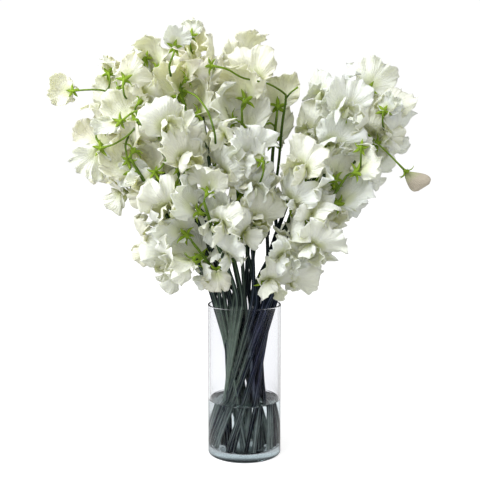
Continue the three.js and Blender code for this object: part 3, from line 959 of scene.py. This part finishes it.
def green_material():
    """Stems pale with wet below the water line, dark and dull above it, yellower towards the flowers.

    Dry stems are green on the left and a painted navy shade on the right, with painted highlights on their
    ridges."""
    material, nodes, links, surface = new_material("sweet_pea_green")
    young = attribute(nodes, "young")
    # Painted shade: dry stems turn navy towards the right, away from the lamps, and stay green on the left.
    side = ramp(nodes, links, place_along(nodes, links, "X", 20, 0.5), [(0.5, 0), (0.72, 0.9)])
    dry = mixed_colour(nodes, links, side, PALE_STEM, SHADED_STEM)
    wet = ramp(nodes, links, maths(nodes, links, "MULTIPLY", young, -1), [(0, 0), (1, 1)])
    light = mixed_colour(nodes, links, wet, dry, WET_STEM)
    # Painted light: tone holds each stem's painted lit or shaded side and a random share, and rib adds
    # painted highlights along the ridges.
    pale = maths(nodes, links, "MULTIPLY", attribute(nodes, "tone"), 0.7)
    pale = maths(nodes, links, "MULTIPLY_ADD", attribute(nodes, "rib"), 0.5, pale)
    base = mixed_colour(nodes, links, ramp(nodes, links, pale, [(0.4, 0), (1.0, 1)]), DARK_STEM, light)

    lobe = ramp(nodes, links, attribute(nodes, "lobe"), [(0.2, 0), (1, 0.45)])
    base = mixed_colour(nodes, links, ramp(nodes, links, young, [(0.0, 0), (0.5, 1)]), base, MIDDLE_GREEN)
    base = mixed_colour(nodes, links, ramp(nodes, links, young, [(0.5, 0), (1, 1)]), base, FRESH_GREEN)
    base = mixed_colour(nodes, links, lobe, base, LOBE_GREEN)
    patch = ramp(nodes, links, noise(nodes, links, *PATCHES), [(0.35, 0), (0.7, 0.5)])
    dulled = mixed_colour(nodes, links, 0.5, base, DULL_GREEN)
    base = mixed_colour(nodes, links, patch, base, dulled)

    set_values(surface, {"Roughness": 0.42, "Specular IOR Level": 0.03})
    links.new(base, surface.inputs["Base Color"])
    grain = bumped(nodes, links, noise(nodes, links, *FINE_GRAIN), 0.3, 0.4 * METRE)
    links.new(grain, surface.inputs["Normal"])
    return material


# What glass and water tint light with and how fast, the painted shade on their grazing edges and foot,
# and the painted reflection on their level upper faces.
GLASS = {
    "ior": 1.5, "tint": (0.8, 0.86, 0.88), "density": 26, "edge": (0.1, 0.1, 0.1), "top": (1.0, 1.0, 1.0),
}
WATER = {
    "ior": 1.333, "tint": (0.45, 0.75, 0.7), "density": 4, "edge": (1.0, 1.0, 1.0), "top": (0.56, 0.64, 0.63),
}
CLEAR = (0.91, 0.91, 0.925)
DULL_MIRROR = (0.05, 0.05, 0.05, 1)


def clear_material(name, ior, tint, density, edge, top):
    """Clear glass or water. edge is painted shade: it dims what is seen at a grazing angle and the lowest
    millimetres.

    top is a painted reflection that tints a level upper face."""
    material, nodes, links, surface = new_material(name)
    # Painted shade: the colour darkens to edge where the surface is seen at a grazing angle and in the lowest
    # millimetres.
    glance = nodes.new("ShaderNodeLayerWeight")
    glance.inputs["Blend"].default_value = 0.5
    rim = ramp(nodes, links, glance.outputs["Facing"], [(0.66, 0), (0.95, 1)])
    foot = ramp(nodes, links, place_along(nodes, links, "Z", 100), [(0.2, 1), (0.45, 0)])
    # Painted reflection: level upper faces, such as the water's surface, take the top colour, which stands
    # for the dark stems mirrored in it.
    split = nodes.new("ShaderNodeSeparateXYZ")
    links.new(nodes.new("ShaderNodeNewGeometry").outputs["Normal"], split.inputs[0])
    level = ramp(nodes, links, split.outputs["Z"], [(0.9, 0), (0.98, 1)])
    clear = mixed_colour(nodes, links, rim, CLEAR, edge)
    clear = mixed_colour(nodes, links, foot, clear, edge)
    links.new(mixed_colour(nodes, links, level, clear, top), surface.inputs["Base Color"])
    set_values(surface, {"Transmission Weight": 1.0, "Roughness": 0.0, "IOR": ior})
    set_values(surface, {"Specular Tint": DULL_MIRROR})
    inside = nodes.new("ShaderNodeVolumeAbsorption")
    set_values(inside, {"Color": (*tint, 1), "Density": density})
    links.new(inside.outputs[0], nodes["Material Output"].inputs["Volume"])
    return material


def cad_nodes_of(index):
    """The solids that hold a spray's petals."""
    start = f"spray_{index + 1:02d}_petals"
    return [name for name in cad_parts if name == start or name.startswith(start + "_")]


def finish_piece(piece, slot, *nodes):
    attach(piece, "root")
    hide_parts(*nodes)


SPRAY_SEED = 1000
STRAY_SEED = 2000


def make_spray(index, spray, petal, green):
    """One spray as two pieces: its petals, and its stem with stalks and calyxes."""
    rng = np.random.default_rng(SPRAY_SEED + index)
    petals, greens = Shape(), Shape()
    add_stem(greens, spray, index, rng)
    for flower in spray["flowers"]:
        add_flower(petals, flower, index, rng)
        add_calyx(greens, flower, rng)
        add_stalk(greens, flower, rng)
    for stray, flower in zip(STRAYS, STRAY_FLOWERS):
        if stray["spray"] == index:
            add_calyx(greens, flower, rng)
            add_long_stalk(greens, flower)
    for flower in TURNED_FLOWERS:
        if flower["spray"] == index:
            add_turned(petals, greens, flower, index, rng)
    if TIP["spray"] == index:
        add_bare_stalk(greens, smooth_line(TIP["points"], 8), TIP["root"], TIP["young"])
    name = f"spray_{index + 1:02d}"
    finish_piece(petals.build(name + "_flowers", petal), "petal", *cad_nodes_of(index))
    finish_piece(greens.build(name + "_greens", green), "green", "stems_and_calyxes")


def make_stray(number, flower, petal, bud):
    """The petals of the open flower or the closed bud that stands off. Its stalk belongs to a spray."""
    rng = np.random.default_rng(STRAY_SEED + number)
    shape = Shape()
    if flower["open"]:
        add_flower(shape, flower, len(SPRAYS) + number, rng)
        finish_piece(shape.build("stray_flower", petal), "petal", "stray_flower_petals")
    else:
        add_bud(shape, flower, rng)
        finish_piece(shape.build("stray_bud", bud), "bud", "closed_bud")


def make_flowers():
    petal = petal_material("white_petal", **WHITE_PETAL)
    bud = petal_material("bud_petal", **BUD_PETAL)
    green = green_material()
    for index, spray in enumerate(SPRAYS):
        make_spray(index, spray, petal, green)
    for number, flower in enumerate(STRAY_FLOWERS):
        make_stray(number, flower, petal, bud)


def mirrored(nodes, links, path):
    """1 for light seen in a mirroring surface, 0 for all other light."""
    through = maths(nodes, links, "SUBTRACT", 1.0, path.outputs["Is Transmission Ray"])
    return maths(nodes, links, "MULTIPLY", path.outputs["Is Glossy Ray"], through)


FLOOR = {"half": 6.0, "height": -0.0004, "glow": 0.66, "through_glass": -0.12, "mirrored": -0.58}
ROOM = {"glow": 1.03, "on_matt": -0.11, "on_gloss": -0.3, "mirrored": -0.6}
DAYLIGHT = (0.945, 0.972, 1.0)


def make_floor():
    """A white floor that glows for the camera, so that it runs into the white room, but lights nothing."""
    material, nodes, links, surface = new_material("white_floor")
    set_values(surface, {"Base Color": (0.5, 0.5, 0.5, 1), "Roughness": 0.8, "Emission Color": (1, 1, 1, 1)})
    path = nodes.new("ShaderNodeLightPath")
    seen_through = path.outputs["Is Transmission Ray"]
    glow = maths(nodes, links, "MULTIPLY_ADD", seen_through, FLOOR["through_glass"], FLOOR["glow"])
    glow = maths(nodes, links, "MULTIPLY_ADD", mirrored(nodes, links, path), FLOOR["mirrored"], glow)
    seen = maths(nodes, links, "SUBTRACT", 1.0, path.outputs["Is Diffuse Ray"])
    links.new(maths(nodes, links, "MULTIPLY", glow, seen), surface.inputs["Emission Strength"])
    half, height = FLOOR["half"], FLOOR["height"]
    corners = [(-half, -half, height), (half, -half, height), (half, half, height), (-half, half, height)]
    mesh = bpy.data.meshes.new("floor")
    mesh.from_pydata(corners, [], [(0, 1, 2, 3)])
    mesh.materials.append(material)
    put("floor", mesh)


def make_room():
    """A white room that lights matt surfaces a little less than it shows, and mirrors dimly."""
    world = bpy.data.worlds.new("white_room")
    world.use_nodes = True
    nodes, links = world.node_tree.nodes, world.node_tree.links
    background = nodes["Background"]
    background.inputs["Color"].default_value = (1, 1, 1, 1)
    path = nodes.new("ShaderNodeLightPath")
    glow = maths(nodes, links, "MULTIPLY_ADD", path.outputs["Is Diffuse Ray"], ROOM["on_matt"], ROOM["glow"])
    glow = maths(nodes, links, "MULTIPLY_ADD", path.outputs["Is Glossy Ray"], ROOM["on_gloss"], glow)
    glow = maths(nodes, links, "MULTIPLY_ADD", mirrored(nodes, links, path), ROOM["mirrored"], glow)
    links.new(glow, background.inputs["Strength"])
    bpy.context.scene.world = world


KEY = {"kind": "SUN", "energy": 1.55, "tilt": 46, "turn": -42}
KEY_SPREAD = math.radians(40)
SOFT_BOX = {"kind": "AREA", "energy": 4.9, "tilt": 57, "turn": -53, "place": (-0.5, -0.36, 0.78)}
SOFT_BOX_SIZE = 0.4


def add_light(name, kind, energy, tilt, turn, place=(0, 0, 0)):
    """A light that looks down, tilted and then turned by degrees."""
    data = bpy.data.lights.new(name, kind)
    data.energy = energy
    data.color = DAYLIGHT
    light = put(name, data)
    light.location = place
    light.rotation_euler = (math.radians(tilt), 0, math.radians(turn))
    return data


def make_lights():
    """A soft key and a soft box, both from the upper left in front."""
    add_light("key", **KEY).angle = KEY_SPREAD
    add_light("soft_box", **SOFT_BOX).size = SOFT_BOX_SIZE


# The camera stands level with the lower flowers, in front of the vase, and looks slightly down.
CAMERA = {"back": 1010.7, "left": 5.4, "height": 369, "pitch": 5.91, "lens": 62.55, "sensor": 36}


def make_camera():
    data = bpy.data.cameras.new("camera")
    data.lens = CAMERA["lens"]
    data.sensor_width = CAMERA["sensor"]
    data.clip_start = 0.01
    camera = put("camera", data)
    camera.location = (-CAMERA["left"] * METRE, -CAMERA["back"] * METRE, CAMERA["height"] * METRE)
    camera.rotation_euler = (math.radians(90 - CAMERA["pitch"]), 0, 0)
    bpy.context.scene.camera = camera


bpy.context.scene.view_settings.view_transform = "Standard"
make_camera()
make_room()
make_lights()
make_floor()
make_flowers()
finish_piece(make_vase(clear_material("clear_glass", **GLASS)), "glass", "glass_vase")
finish_piece(make_water(clear_material("clear_water", **WATER)), "water", "water")
